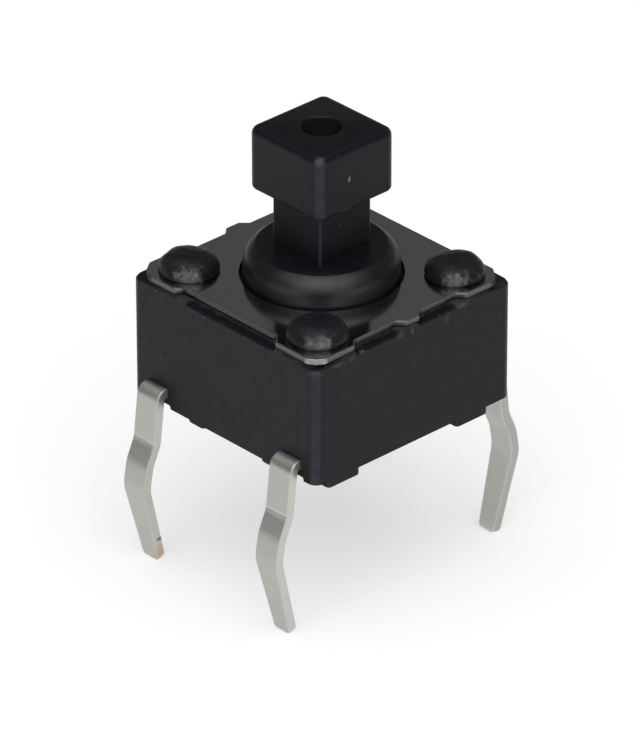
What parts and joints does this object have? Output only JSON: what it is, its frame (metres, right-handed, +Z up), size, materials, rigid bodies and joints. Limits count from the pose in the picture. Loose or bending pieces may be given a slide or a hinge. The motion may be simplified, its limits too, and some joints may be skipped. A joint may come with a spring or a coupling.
{
  "type": "tactile push button switch",
  "caption": "Through-hole momentary tactile switch: square black housing, staked metal cover, tall square-headed plunger and bowed snap-in terminals.",
  "frame": {"origin": "centre of the terminal pattern on the board plane, on which the four large feet stand", "axes": "+Z up along the plunger, X across the two walls that the terminals leave, Y across the plain walls"},
  "size_m": [0.0078, 0.0062, 0.011],
  "materials": {
    "housing_plastic": "black moulded thermoplastic with a faint satin sheen",
    "cover_metal": "smooth cold-rolled sheet with sheared edges",
    "plunger_plastic": "black moulded thermoplastic, slightly glossier than the housing",
    "dome_metal": "thin sprung stainless sheet",
    "terminal_metal": "satin tin plating over brass strip"
  },
  "bodies": {
    "switch_base": {"housing": "housing_plastic", "cover": "cover_metal", "snap_dome": "dome_metal", "middle_contact_terminal": "terminal_metal", "outer_contact_terminal": "terminal_metal"},
    "plunger": {"plunger": "plunger_plastic"}
  },
  "joints": [
    {"name": "plunger_press", "type": "slide", "parent": "switch_base", "child": "plunger", "axis": [0, 0, -1], "range_m": [0, 0.00025], "stiffness_N_per_m": 4000, "deforming": ["snap_dome"]}
  ]
}
